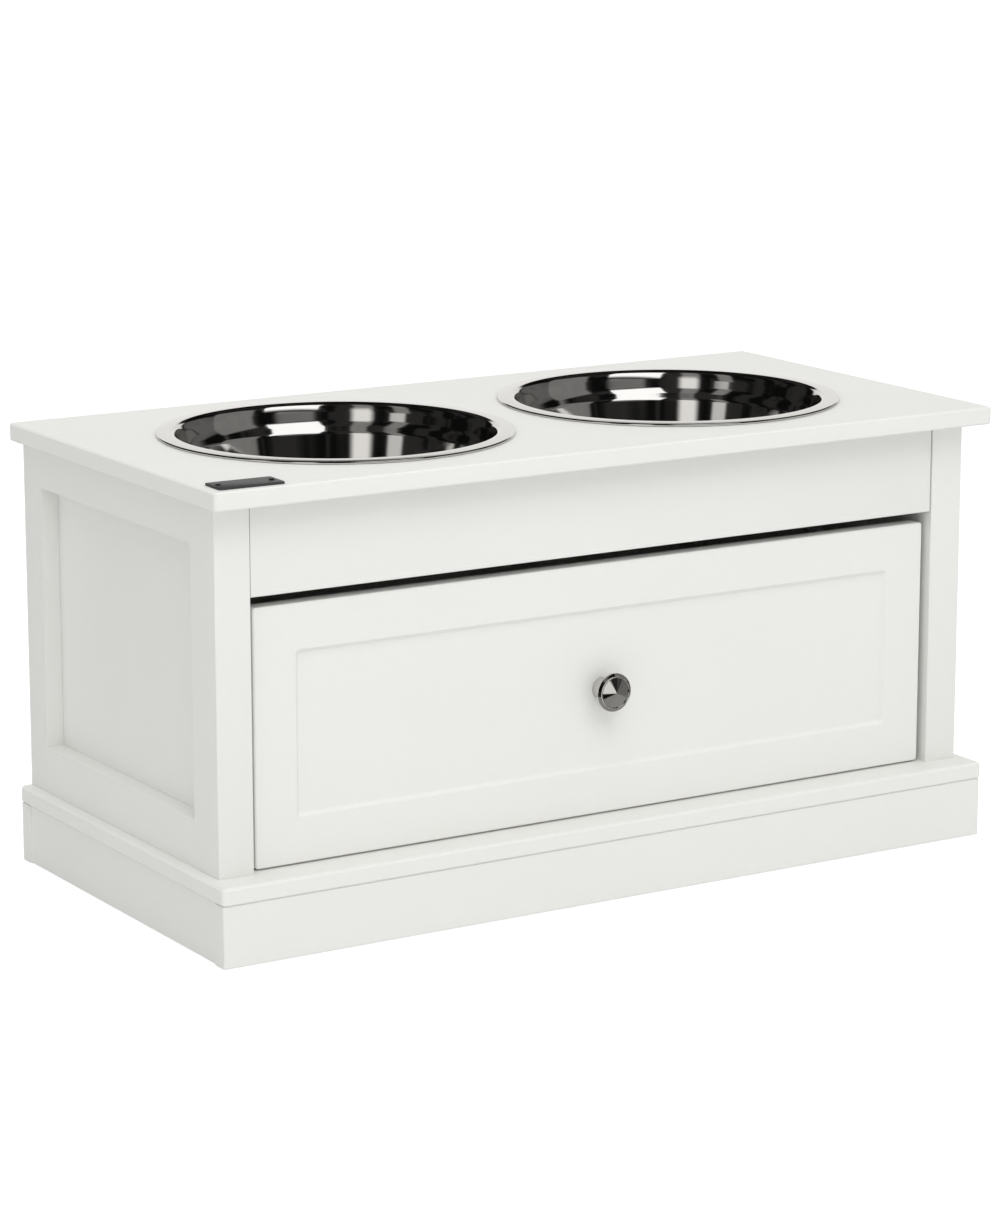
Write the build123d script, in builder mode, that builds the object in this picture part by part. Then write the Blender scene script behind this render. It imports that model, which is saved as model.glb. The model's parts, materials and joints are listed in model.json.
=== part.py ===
"""Elevated dog feeder with a storage drawer, in millimetres.

Frame: origin on the floor under the middle of the top board, +X to the right,
the drawer opens towards -Y, +Z up. A painted board cabinet stands on a skirt,
two steel bowls hang in the top board, and a drawer runs on roller runners.
"""
from build123d import *
import os

# ---------------------------------------------------------------- driving dimensions
# boards
board = 12.0                # thickness of every cabinet and drawer board
top_width = 600.0           # top board, along X
top_depth = 296.0           # top board, along Y
top_edge = 1.0              # eased edges of the top board
top_corner = 3.0            # rounding of its corners, seen from above
base_side_ledge = 8.0       # base board beyond the body, at each side
base_front_ledge = 20.5     # base board beyond the posts, at the front
base_rear_ledge = 1.5
base_edge = 1.6             # eased edges of the base board
skirt_height = 40.0
skirt_end_inset = 0.5       # ends of the front and rear skirt, from the base board's ends
skirt_face_inset = 1.0      # front and rear skirt faces, from the base board's edges
side_skirt_inset = 2.0      # side skirt faces, from the base board's ends
skirt_edge = 1.0
soft_edge = 0.6             # eased corners of painted boards

# cabinet body
body_height = 239.0
side_overhang = 9.5         # top board beyond the body, at each side
front_overhang = 20.5       # top board beyond the posts, at the front
rear_overhang = 1.5
post_width = 25.0           # posts, along X
front_post_depth = 32.0     # front posts, along Y
rear_post_depth = 26.5      # rear posts, along Y
top_rail_height = 29.0
bottom_rail_height = 32.0
rail_thickness = 18.0
panel_recess = 12.5         # side panel behind the faces of its frame
thin_board = 5.0            # side panels, back panel, drawer bottom
groove_depth = 6.0
groove_fit = 0.1            # play on each side of a thin board in its groove
apron_height = 61.0
apron_setback = 1.0         # apron face behind the post faces
back_panel_setback = 2.0    # back panel behind the rear faces of the posts
rear_rail_height = 40.0

# bowls
bowl_spacing = 264.0        # between the two bowl axes
bowl_rim_radius = 118.5
bowl_lip_thickness = 1.8    # rolled outer edge of the flange
bowl_flange_rise = 2.4      # crown of the flange above the top board
bowl_crown_inset = 6.5      # highest place of the flange, from the rim
bowl_flange_width = 11.7    # rim to where flange and wall would meet without their bend
bowl_shoulder_height = 2.3
bowl_shoulder_bend = 1.3    # bend between flange and wall
bowl_floor_bend = 13.0      # bend between wall and floor
bowl_step_depth = 11.5      # top of the stacking step, below the top board
bowl_step_height = 6.0
bowl_mouth_taper = 4.3      # wall above the step leans in by this much
bowl_step_width = 3.5       # stacking step, from the wall above it to the wall below
bowl_wall_taper = 7.0       # wall under the step leans in by this much
bowl_depth = 62.0           # outside, from the top board's surface
bowl_steel = 0.8
bowl_hole_fit = 0.6         # play between the bowl wall and its cut-out
bowl_seat_gap = 0.1         # lip over the painted surface

# drawer
drawer_front_setback = 5.0  # drawer front behind the post faces
drawer_front_gap = 4.0      # beside the drawer front, at each side
drawer_front_floor_gap = 1.0
drawer_front_head_gap = 8.0
drawer_front_edge = 0.8
drawer_front_corner = 2.0
frame_border = 30.0         # border round the sunk field of the drawer front
field_depth = 2.5
field_slope_angle = 45.0    # edge of the sunk field, in degrees from straight in
field_corner = 3.0
drawer_rear_gap = 15.0      # drawer back to back panel
drawer_side_height = 135.0
drawer_side_rise = 14.0     # drawer sides above the base board
drawer_bottom_rise = 8.0    # drawer bottom above the lower edges of the sides
drawer_groove_depth = 6.0
drawer_rim_round = 1.5      # eased upper edges of the drawer sides

# roller runners
runner_gap = 12.5           # post face to drawer side, filled by a pair of runners
runner_steel = 1.2
roller_diameter = 15.4
roller_width = 6.0
roller_gap = 0.3            # roller to the track it runs on
roller_side_gap = 1.8       # roller to the web that carries it
track_width = 8.3           # lower and upper flange of the cabinet runner
cabinet_runner_rear_gap = 3.0    # cabinet runner to back panel
cabinet_runner_gap = 1.0    # cabinet runner behind the drawer front
drawer_runner_rear_gap = 4.0     # rear end of the drawer runner, from the drawer's
drawer_runner_setback = 3.0
drawer_runner_height = 18.0
under_flange = 11.0         # flange under the drawer side
over_flange = 7.8           # flange that runs on the front roller
front_roller_inset = 17.0   # front roller axis behind the cabinet runner's front end
rear_roller_inset = 9.0     # rear roller axis ahead of the drawer runner's rear end
upper_track_gap = 0.5       # rear roller to the upper flange
pin_diameter = 4.0
pin_fit = 0.1
pin_flange_diameter = 7.0
pin_recess = 1.0            # pin head sunk in the roller's face
roller_edge = 0.8
roller_window = 3.0         # opening of the upper flange behind the front roller

# knob
knob_rim_diameter = 26.0
knob_face_diameter = 21.5
knob_collar_diameter = 22.0
knob_neck_diameter = 10.5
knob_foot_diameter = 15.0
knob_projection = 17.0
knob_foot_height = 2.0
knob_rim_thickness = 2.6
knob_collar_thickness = 1.6
knob_face_sink = 0.6
knob_cone_height = 1.8
knob_rim_round = 0.6
knob_insert_depth = 10.0
knob_neck_rise = 6.5        # narrowest place of the neck, above the sunk field

# fasteners
screw_diameter = 4.0
screw_head_diameter = 8.0
screw_head_slope = 45.0     # countersunk heads, in degrees from the screw's axis
screw_fit = 0.15            # play round a shank or dowel in its bore
fastener_facets = 8         # hidden shanks and dowels are faceted
base_screw_length = 32.0
runner_screw_diameter = 3.5
runner_screw_head = 6.4
runner_screw_head_height = 1.4
runner_screw_length = 10.0
drawer_screw_length = 30.0
front_screw_length = 20.0
front_screw_inset = 50.0    # screws of the drawer front, from the inner front's ends
corner_screw_margin = 30.0  # drawer screws, from the upper and lower edges of the sides
knob_screw_length = 30.0
knob_screw_diameter = 4.0
pan_head_diameter = 8.0
pan_head_height = 2.4
dowel_diameter = 8.0
dowel_length = 30.0
cam_diameter = 15.0
cam_height = 9.0
cam_bore_play = 0.3
cam_drop = 14.0             # cam axis below the top board
cam_bolt_diameter = 6.0
cam_bolt_bite = 9.0         # cam bolt in the top board
side_cam_inset = 38.0       # cams of the side rails, from the posts
cross_cam_inset = 30.0      # cams of the apron and rear rail, from their ends
cross_dowel_drop = 30.0     # dowels of the apron and rear rail, below the top board
corner_block = 25.0
corner_block_lift = 3.0     # corner blocks above the floor
corner_block_ease = 1.5

# ---------------------------------------------------------------- derived places
front_edge = -top_depth / 2
rear_edge = top_depth / 2
base_top = skirt_height + board
body_top = base_top + body_height
overall_height = body_top + board
body_half = top_width / 2 - side_overhang
body_front = front_edge + front_overhang
body_rear = rear_edge - rear_overhang
post_inner = body_half - post_width
front_post_back = body_front + front_post_depth
rear_post_front = body_rear - rear_post_depth
rail_inner = body_half - rail_thickness
rail_middle = body_half - rail_thickness / 2
panel_outer = body_half - panel_recess
panel_inner = panel_outer - thin_board
top_rail_bottom = body_top - top_rail_height
bottom_rail_top = base_top + bottom_rail_height
apron_front = body_front + apron_setback
apron_back = apron_front + board
apron_bottom = body_top - apron_height
back_panel_rear = body_rear - back_panel_setback
back_panel_front = back_panel_rear - thin_board
rear_rail_front = back_panel_front - board
base_half = body_half + base_side_ledge
base_front = body_front - base_front_ledge
base_rear = body_rear + base_rear_ledge
front_skirt_face = base_front + skirt_face_inset
rear_skirt_face = base_rear - skirt_face_inset
side_skirt_face = base_half - side_skirt_inset

bowl_offset = bowl_spacing / 2
bowl_crown_radius = bowl_rim_radius - bowl_crown_inset
bowl_mouth_radius = bowl_rim_radius - bowl_flange_width
bowl_step_radius = bowl_mouth_radius - bowl_mouth_taper
bowl_wall_radius = bowl_step_radius - bowl_step_width
bowl_floor_radius = bowl_wall_radius - bowl_wall_taper
bowl_hole_radius = bowl_mouth_radius + bowl_steel + bowl_hole_fit

front_half = post_inner - drawer_front_gap
front_bottom = base_top + drawer_front_floor_gap
front_top = apron_bottom - drawer_front_head_gap
front_middle = (front_bottom + front_top) / 2
front_face = body_front + drawer_front_setback
front_back = front_face + board
field_plane = front_face + field_depth
drawer_half = post_inner - runner_gap
drawer_inner_half = drawer_half - board
drawer_low = base_top + drawer_side_rise
drawer_high = drawer_low + drawer_side_height
drawer_rear = back_panel_front - drawer_rear_gap
inner_front_back = front_back + board
drawer_back_front = drawer_rear - board
drawer_floor_low = drawer_low + drawer_bottom_rise
drawer_floor_high = drawer_floor_low + thin_board

web_inner = post_inner - runner_steel
drawer_web = drawer_half + runner_steel
roller_radius = roller_diameter / 2
roller_outer = web_inner - roller_side_gap
drawer_runner_low = drawer_low - runner_steel
drawer_runner_high = drawer_runner_low + drawer_runner_height
over_flange_low = drawer_runner_high - runner_steel
front_roller_z = over_flange_low - roller_gap - roller_radius
upper_track_top = over_flange_low - upper_track_gap
upper_track_low = upper_track_top - runner_steel
rear_roller_z = upper_track_low - upper_track_gap - roller_radius
lower_track_top = rear_roller_z - roller_radius - roller_gap
cabinet_runner_low = lower_track_top - runner_steel
cabinet_runner_front = front_back + cabinet_runner_gap
cabinet_runner_back = back_panel_front - cabinet_runner_rear_gap
cabinet_runner_length = cabinet_runner_back - cabinet_runner_front
front_roller_y = cabinet_runner_front + front_roller_inset
drawer_runner_front = front_back + drawer_runner_setback
drawer_runner_back = drawer_rear - drawer_runner_rear_gap
drawer_runner_length = drawer_runner_back - drawer_runner_front
rear_roller_y = drawer_runner_back - rear_roller_inset
cabinet_screw_z = (lower_track_top + upper_track_low) / 2
cabinet_screw_places = (
    (cabinet_runner_front + front_post_back) / 2,
    (rear_post_front + cabinet_runner_back) / 2,
)
drawer_screw_z = (drawer_low + drawer_floor_low) / 2
drawer_screw_places = tuple(
    drawer_runner_front + drawer_runner_length * step / 4 for step in (1, 2, 3)
)

cam_z = body_top - cam_drop
cam_bore_depth = cam_height + cam_bore_play
cam_inset = cam_height / 2
cam_bolt_x = rail_inner + cam_inset
cam_bolt_hole_depth = cam_bolt_bite + cam_bore_play
side_rail_middle = (front_post_back + rear_post_front) / 2
top_dowel_z = (body_top + top_rail_bottom + groove_depth) / 2
bottom_dowel_z = (base_top + bottom_rail_top - groove_depth) / 2
cross_dowel_z = body_top - cross_dowel_drop
apron_middle = apron_front + board / 2
rear_rail_middle = rear_rail_front + board / 2
dowel_bore_radius = dowel_diameter / 2 + screw_fit
dowel_bore_depth = dowel_length / 2 + cam_bore_play
cam_bore_radius = cam_diameter / 2 + screw_fit
bolt_bore_radius = cam_bolt_diameter / 2 + screw_fit
screw_bore_radius = screw_diameter / 2 + screw_fit
runner_bore_radius = runner_screw_diameter / 2 + screw_fit
pin_bore_radius = pin_diameter / 2 + pin_fit
screw_head_height = (screw_head_diameter - screw_diameter) / 2
post_screw_x = post_inner + dowel_diameter
front_post_middle = body_front + front_post_depth / 2
rear_post_middle = body_rear - rear_post_depth / 2

# posts and rail ends: where the bored joints of the side frames lie
side_cam_places = (front_post_back + side_cam_inset, rear_post_front - side_cam_inset)
cross_cam_places = (cross_cam_inset - post_inner, post_inner - cross_cam_inset)
corner_screw_places = (front_back + board / 2, drawer_rear - board / 2)
corner_screw_heights = (drawer_low + corner_screw_margin, drawer_high - corner_screw_margin)
front_screw_places = [
    (across * (drawer_inner_half - front_screw_inset), height)
    for across in (-1, 1) for height in corner_screw_heights
]

os.makedirs("parts", exist_ok=True)
SIDES = {"left": -1, "right": 1}
UP = (0, 0, 1)
DOWN = (0, 0, -1)
FORWARD = (0, -1, 0)
BACKWARD = (0, 1, 0)


def save(piece, name):
    """Label a finished piece and write its own file."""
    piece.label = name
    export_step(piece, f"parts/{name}.step")


def block(x_span, y_span, z_span, mode=Mode.ADD):
    """A square-edged board or groove between three pairs of faces."""
    center = Vector(*(sum(span) / 2 for span in (x_span, y_span, z_span)))
    length, width, height = (abs(span[1] - span[0]) for span in (x_span, y_span, z_span))
    with Locations(center):
        Box(length, width, height, mode=mode)


def patch(u_span, v_span):
    """A rectangle of the open sketch, between two pairs of sides."""
    with Locations((sum(u_span) / 2, sum(v_span) / 2)):
        Rectangle(abs(u_span[1] - u_span[0]), abs(v_span[1] - v_span[0]))


def round_bore(start, into, radius, depth):
    """A round hole from a point on a face, straight into the open part."""
    with Locations(Plane(origin=start, z_dir=-Vector(*into))):
        Hole(radius, depth=depth)


def bore(start, into, radius, depth):
    """A hidden hole, faceted like the shank that it takes and nowhere narrower than its radius."""
    with BuildSketch(Plane(origin=start, z_dir=into)) as outline:
        RegularPolygon(radius, fastener_facets, major_radius=False)
    extrude(outline.sketch, amount=depth, mode=Mode.SUBTRACT)


def dowel_bore(start, into):
    """Half of a dowel's hole, from the joint between two boards."""
    bore(start, into, dowel_bore_radius, dowel_bore_depth)


def runner_bore(start, into, depth):
    """Hole for a runner screw."""
    bore(start, into, runner_bore_radius, depth)


def sink(start, into, depth):
    """A countersunk hole for a wood screw, from a point on a face, faceted like the screw."""
    with BuildSketch(Plane(origin=start, z_dir=into)) as mouth:
        RegularPolygon(screw_head_diameter / 2 + screw_fit, fastener_facets, major_radius=False)
    extrude(mouth.sketch, amount=screw_head_height, taper=screw_head_slope, mode=Mode.SUBTRACT)
    bore(start, into, screw_bore_radius, depth)


def copies(template, places, name):
    """Like pieces, each a solid of its own, in one node."""
    with BuildPart() as group:
        with Locations(*places):
            add(template)
    save(group.part, name)


# ---------------------------------------------------------------- fasteners, pointing up
def wood_screw(length):
    """Countersunk screw, hidden in the boards: tapered head on a faceted shank."""
    with BuildPart() as screw:
        with BuildSketch():
            RegularPolygon(screw_head_diameter / 2, fastener_facets)
        with BuildSketch(Plane.XY.offset(screw_head_height)):
            RegularPolygon(screw_diameter / 2, fastener_facets)
        loft()
        extrude(screw.faces().sort_by(Axis.Z)[-1], amount=length - screw_head_height)
    return screw.part


def pan_screw(length, diameter, head_diameter, head_height):
    """Flat-headed screw whose head stands below the plane it is driven into."""
    with BuildPart() as screw:
        with BuildSketch():
            RegularPolygon(head_diameter / 2, fastener_facets)
        extrude(amount=-head_height)
        with BuildSketch():
            RegularPolygon(diameter / 2, fastener_facets)
        extrude(amount=length)
    return screw.part


base_screw = wood_screw(base_screw_length)
corner_screw = wood_screw(drawer_screw_length)
runner_screw = pan_screw(
    runner_screw_length, runner_screw_diameter, runner_screw_head, runner_screw_head_height
)
front_screw = pan_screw(
    front_screw_length, screw_diameter, pan_head_diameter, pan_head_height
)
knob_bolt = pan_screw(
    knob_screw_length, knob_screw_diameter, pan_head_diameter, pan_head_height
)

with BuildPart() as dowel:
    with BuildSketch(Plane.XY.offset(-dowel_length / 2)):
        RegularPolygon(dowel_diameter / 2, fastener_facets)
    extrude(amount=dowel_length)

with BuildPart() as cam:
    Cylinder(cam_diameter / 2, cam_height, align=(Align.CENTER, Align.CENTER, Align.MIN))
    bore((cam_diameter / 2, 0, cam_inset), (-1, 0, 0), bolt_bore_radius, cam_diameter / 2)

with BuildPart() as cam_bolt:
    with BuildSketch():
        RegularPolygon(cam_bolt_diameter / 2, fastener_facets)
    extrude(amount=cam_drop + cam_bolt_bite)

# ---------------------------------------------------------------- top board
with BuildPart() as top_board:
    block(
        (-top_width / 2, top_width / 2), (front_edge, rear_edge), (body_top, overall_height)
    )
    fillet(top_board.edges().filter_by(Axis.Z), top_corner)
    chamfer(top_board.faces().sort_by(Axis.Z)[-1].edges(), top_edge)
    chamfer(top_board.faces().sort_by(Axis.Z)[0].edges(), top_edge)
    with BuildSketch(Plane.XY.offset(body_top)):
        with Locations((-bowl_offset, 0), (bowl_offset, 0)):
            Circle(bowl_hole_radius)
    extrude(amount=board, mode=Mode.SUBTRACT)
    for side in SIDES.values():
        for y in side_cam_places:
            bore((side * cam_bolt_x, y, body_top), UP, bolt_bore_radius, cam_bolt_hole_depth)
    for x in cross_cam_places:
        for y in (apron_back - cam_inset, rear_rail_front + cam_inset):
            bore((x, y, body_top), UP, bolt_bore_radius, cam_bolt_hole_depth)
save(top_board.part, "top_board")

# ---------------------------------------------------------------- side frames
for side_name, side in SIDES.items():
    outward = (side, 0, 0)
    inward = (-side, 0, 0)
    outer, inner = side * body_half, side * post_inner
    panel_groove = (side * (panel_outer + groove_fit), side * (panel_inner - groove_fit))
    groove_heights = (bottom_rail_top - groove_depth, top_rail_bottom + groove_depth)
    dowel_heights = (bottom_dowel_z, top_dowel_z)

    with BuildPart() as front_post:
        block((outer, inner), (body_front, front_post_back), (base_top, body_top))
        fillet(front_post.edges().filter_by(Axis.Z).group_by(Axis.Y)[0], soft_edge)
        block(
            panel_groove, (front_post_back - groove_depth, front_post_back), groove_heights,
            mode=Mode.SUBTRACT,
        )
        for height in dowel_heights:
            dowel_bore((side * rail_middle, front_post_back, height), FORWARD)
        dowel_bore((inner, apron_middle, cross_dowel_z), outward)
        bore(
            (side * post_screw_x, front_post_middle, base_top), UP,
            screw_bore_radius, base_screw_length - board + cam_bore_play,
        )
        runner_bore((inner, cabinet_screw_places[0], cabinet_screw_z), outward, runner_screw_length)
    save(front_post.part, f"{side_name}_front_post")

    with BuildPart() as rear_post:
        block((outer, inner), (rear_post_front, body_rear), (base_top, body_top))
        fillet(rear_post.edges().filter_by(Axis.Z).group_by(Axis.Y)[-1], soft_edge)
        block(
            panel_groove, (rear_post_front, rear_post_front + groove_depth), groove_heights,
            mode=Mode.SUBTRACT,
        )
        block(
            (inner, side * (post_inner + groove_depth)),
            (back_panel_front - groove_fit, back_panel_rear + groove_fit),
            (base_top, body_top), mode=Mode.SUBTRACT,
        )
        for height in dowel_heights:
            dowel_bore((side * rail_middle, rear_post_front, height), BACKWARD)
        dowel_bore((inner, rear_rail_middle, cross_dowel_z), outward)
        bore(
            (side * post_screw_x, rear_post_middle, base_top), UP,
            screw_bore_radius, base_screw_length - board + cam_bore_play,
        )
        runner_bore((inner, cabinet_screw_places[1], cabinet_screw_z), outward, runner_screw_length)
    save(rear_post.part, f"{side_name}_rear_post")

    with BuildPart() as top_rail:
        block(
            (outer, side * rail_inner), (front_post_back, rear_post_front),
            (top_rail_bottom, body_top),
        )
        block(
            panel_groove, (front_post_back, rear_post_front),
            (top_rail_bottom, top_rail_bottom + groove_depth), mode=Mode.SUBTRACT,
        )
        dowel_bore((side * rail_middle, front_post_back, top_dowel_z), BACKWARD)
        dowel_bore((side * rail_middle, rear_post_front, top_dowel_z), FORWARD)
        for y in side_cam_places:
            round_bore((side * rail_inner, y, cam_z), outward, cam_bore_radius, cam_bore_depth)
            bore((side * cam_bolt_x, y, body_top), DOWN, bolt_bore_radius, cam_drop)
    save(top_rail.part, f"{side_name}_top_rail")

    with BuildPart() as bottom_rail:
        block(
            (outer, side * rail_inner), (front_post_back, rear_post_front),
            (base_top, bottom_rail_top),
        )
        block(
            panel_groove, (front_post_back, rear_post_front),
            (bottom_rail_top - groove_depth, bottom_rail_top), mode=Mode.SUBTRACT,
        )
        dowel_bore((side * rail_middle, front_post_back, bottom_dowel_z), BACKWARD)
        dowel_bore((side * rail_middle, rear_post_front, bottom_dowel_z), FORWARD)
        bore(
            (side * rail_middle, side_rail_middle, base_top), UP,
            screw_bore_radius, base_screw_length - board + cam_bore_play,
        )
    save(bottom_rail.part, f"{side_name}_bottom_rail")

    with BuildPart() as side_panel:
        block(
            (side * panel_outer, side * panel_inner),
            (front_post_back - groove_depth + groove_fit, rear_post_front + groove_depth - groove_fit),
            (bottom_rail_top - groove_depth + groove_fit, top_rail_bottom + groove_depth - groove_fit),
        )
    save(side_panel.part, f"{side_name}_side_panel")

# ---------------------------------------------------------------- apron, rear rail and back
with BuildPart() as front_apron:
    block((-post_inner, post_inner), (apron_front, apron_back), (apron_bottom, body_top))
    chamfer(front_apron.faces().sort_by(Axis.Y)[0].edges().filter_by(Axis.X).sort_by(Axis.Z)[0], soft_edge)
    for side in SIDES.values():
        dowel_bore((side * post_inner, apron_middle, cross_dowel_z), (-side, 0, 0))
    for x in cross_cam_places:
        round_bore((x, apron_back, cam_z), FORWARD, cam_bore_radius, cam_bore_depth)
        bore((x, apron_back - cam_inset, body_top), DOWN, bolt_bore_radius, cam_drop)
save(front_apron.part, "front_apron")

with BuildPart() as rear_rail:
    block(
        (-post_inner, post_inner), (rear_rail_front, back_panel_front),
        (body_top - rear_rail_height, body_top),
    )
    for side in SIDES.values():
        dowel_bore((side * post_inner, rear_rail_middle, cross_dowel_z), (-side, 0, 0))
    for x in cross_cam_places:
        round_bore((x, rear_rail_front, cam_z), BACKWARD, cam_bore_radius, cam_bore_depth)
        bore((x, rear_rail_front + cam_inset, body_top), DOWN, bolt_bore_radius, cam_drop)
save(rear_rail.part, "rear_top_rail")

with BuildPart() as back_panel:
    panel_half = post_inner + groove_depth - groove_fit
    block((-panel_half, panel_half), (back_panel_front, back_panel_rear), (base_top, body_top))
save(back_panel.part, "back_panel")

# ---------------------------------------------------------------- base board and skirt
base_screw_spots = [
    (side * post_screw_x, y)
    for side in SIDES.values() for y in (front_post_middle, rear_post_middle)
]
base_screw_spots += [(side * rail_middle, side_rail_middle) for side in SIDES.values()]

with BuildPart() as base_board:
    block((-base_half, base_half), (base_front, base_rear), (skirt_height, base_top))
    fillet(base_board.edges().filter_by(Axis.Z), top_corner)
    chamfer(base_board.faces().sort_by(Axis.Z)[-1].edges(), base_edge)
    chamfer(base_board.faces().sort_by(Axis.Z)[0].edges(), base_edge)
    for x, y in base_screw_spots:
        sink((x, y, skirt_height), UP, board)
save(base_board.part, "base_board")

skirt_half = base_half - skirt_end_inset
side_skirt_inner = side_skirt_face - board
front_skirt_back = front_skirt_face + board
rear_skirt_front = rear_skirt_face - board

with BuildPart() as front_skirt:
    block((-skirt_half, skirt_half), (front_skirt_face, front_skirt_back), (0, skirt_height))
    fillet(front_skirt.faces().sort_by(Axis.Y)[0].edges().filter_by(Axis.Z), skirt_edge)
save(front_skirt.part, "front_skirt")

with BuildPart() as rear_skirt:
    block((-skirt_half, skirt_half), (rear_skirt_front, rear_skirt_face), (0, skirt_height))
    fillet(rear_skirt.faces().sort_by(Axis.Y)[-1].edges().filter_by(Axis.Z), skirt_edge)
save(rear_skirt.part, "rear_skirt")

for side_name, side in SIDES.items():
    with BuildPart() as side_skirt:
        block(
            (side * side_skirt_face, side * side_skirt_inner),
            (front_skirt_back, rear_skirt_front), (0, skirt_height),
        )
    save(side_skirt.part, f"{side_name}_skirt")

with BuildPart() as corner_blocks:
    for side in SIDES.values():
        for wall_y, ahead in ((front_skirt_back, 1), (rear_skirt_front, -1)):
            block(
                (side * side_skirt_inner, side * (side_skirt_inner - corner_block)),
                (wall_y, wall_y + ahead * corner_block), (corner_block_lift, skirt_height),
            )
    chamfer(corner_blocks.faces().sort_by(Axis.Z)[0:4].edges(), corner_block_ease)
save(corner_blocks.part, "skirt_corner_blocks")

copies(base_screw, [(x, y, skirt_height) for x, y in base_screw_spots], "base_screws")

# ---------------------------------------------------------------- hidden joints of the body
dowel_planes = [
    Plane(origin=(side * rail_middle, y, z), z_dir=BACKWARD)
    for side in SIDES.values() for y in (front_post_back, rear_post_front)
    for z in (bottom_dowel_z, top_dowel_z)
]
dowel_planes += [
    Plane(origin=(side * post_inner, y, cross_dowel_z), z_dir=(side, 0, 0))
    for side in SIDES.values() for y in (apron_middle, rear_rail_middle)
]
copies(dowel.part, dowel_planes, "frame_dowels")

cam_planes = [
    Plane(origin=(side * rail_inner, y, cam_z), x_dir=UP, z_dir=(side, 0, 0))
    for side in SIDES.values() for y in side_cam_places
]
cam_planes += [Plane(origin=(x, apron_back, cam_z), x_dir=UP, z_dir=FORWARD) for x in cross_cam_places]
cam_planes += [Plane(origin=(x, rear_rail_front, cam_z), x_dir=UP, z_dir=BACKWARD) for x in cross_cam_places]
copies(cam.part, cam_planes, "cam_discs")

cam_bolt_spots = [(side * cam_bolt_x, y, cam_z) for side in SIDES.values() for y in side_cam_places]
cam_bolt_spots += [
    (x, y, cam_z) for x in cross_cam_places
    for y in (apron_back - cam_inset, rear_rail_front + cam_inset)
]
copies(cam_bolt.part, cam_bolt_spots, "cam_bolts")

# ---------------------------------------------------------------- drawer box
with BuildPart() as drawer_front:
    block((-front_half, front_half), (front_face, front_back), (front_bottom, front_top))
    fillet(drawer_front.edges().filter_by(Axis.Y), drawer_front_corner)
    chamfer(drawer_front.faces().sort_by(Axis.Y)[0].edges(), drawer_front_edge)
    with BuildSketch(Plane.XZ.offset(-front_face)):
        with Locations((0, front_middle)):
            RectangleRounded(
                2 * (front_half - frame_border), front_top - front_bottom - 2 * frame_border,
                field_corner,
            )
    extrude(amount=-field_depth, taper=field_slope_angle, mode=Mode.SUBTRACT)
    for x, z in front_screw_places:
        bore((x, front_back, z), FORWARD, screw_bore_radius, front_screw_length - board + cam_bore_play)
    bore((0, front_back, front_middle), FORWARD, screw_bore_radius, board)
save(drawer_front.part, "drawer_front")

with BuildPart() as inner_front:
    block(
        (-drawer_inner_half, drawer_inner_half), (front_back, inner_front_back),
        (drawer_low, drawer_high),
    )
    block(
        (-drawer_inner_half, drawer_inner_half),
        (inner_front_back - drawer_groove_depth, inner_front_back),
        (drawer_floor_low - groove_fit, drawer_floor_high + groove_fit), mode=Mode.SUBTRACT,
    )
    for x, z in front_screw_places:
        bore((x, inner_front_back, z), FORWARD, screw_bore_radius, board)
    bore((0, inner_front_back, front_middle), FORWARD, screw_bore_radius, board)
    for side in SIDES.values():
        for z in corner_screw_heights:
            bore(
                (side * drawer_inner_half, corner_screw_places[0], z), (-side, 0, 0),
                screw_bore_radius, drawer_screw_length - board + cam_bore_play,
            )
save(inner_front.part, "drawer_inner_front")

with BuildPart() as drawer_back:
    block(
        (-drawer_inner_half, drawer_inner_half), (drawer_back_front, drawer_rear),
        (drawer_floor_high, drawer_high),
    )
    for side in SIDES.values():
        for z in corner_screw_heights:
            bore(
                (side * drawer_inner_half, corner_screw_places[1], z), (-side, 0, 0),
                screw_bore_radius, drawer_screw_length - board + cam_bore_play,
            )
save(drawer_back.part, "drawer_back")

for side_name, side in SIDES.items():
    with BuildPart() as drawer_side:
        block(
            (side * drawer_half, side * drawer_inner_half), (front_back, drawer_rear),
            (drawer_low, drawer_high),
        )
        chamfer(drawer_side.faces().sort_by(Axis.Z)[-1].edges().filter_by(Axis.Y), drawer_rim_round)
        block(
            (side * drawer_inner_half, side * (drawer_inner_half + drawer_groove_depth)),
            (inner_front_back - drawer_groove_depth, drawer_rear),
            (drawer_floor_low - groove_fit, drawer_floor_high + groove_fit), mode=Mode.SUBTRACT,
        )
        for y in corner_screw_places:
            for z in corner_screw_heights:
                sink((side * drawer_half, y, z), (-side, 0, 0), board)
        for y in drawer_screw_places:
            runner_bore((side * drawer_half, y, drawer_screw_z), (-side, 0, 0), runner_screw_length)
    save(drawer_side.part, f"drawer_{side_name}_side")

with BuildPart() as drawer_bottom:
    floor_half = drawer_inner_half + drawer_groove_depth - groove_fit
    block(
        (-floor_half, floor_half),
        (inner_front_back - drawer_groove_depth + groove_fit, drawer_rear),
        (drawer_floor_low, drawer_floor_high),
    )
save(drawer_bottom.part, "drawer_bottom")

copies(
    corner_screw,
    [
        Plane(origin=(side * drawer_half, y, z), z_dir=(-side, 0, 0))
        for side in SIDES.values() for y in corner_screw_places for z in corner_screw_heights
    ],
    "drawer_corner_screws",
)
copies(
    front_screw,
    [Plane(origin=(x, inner_front_back, z), z_dir=FORWARD) for x, z in front_screw_places],
    "drawer_front_screws",
)

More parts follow.
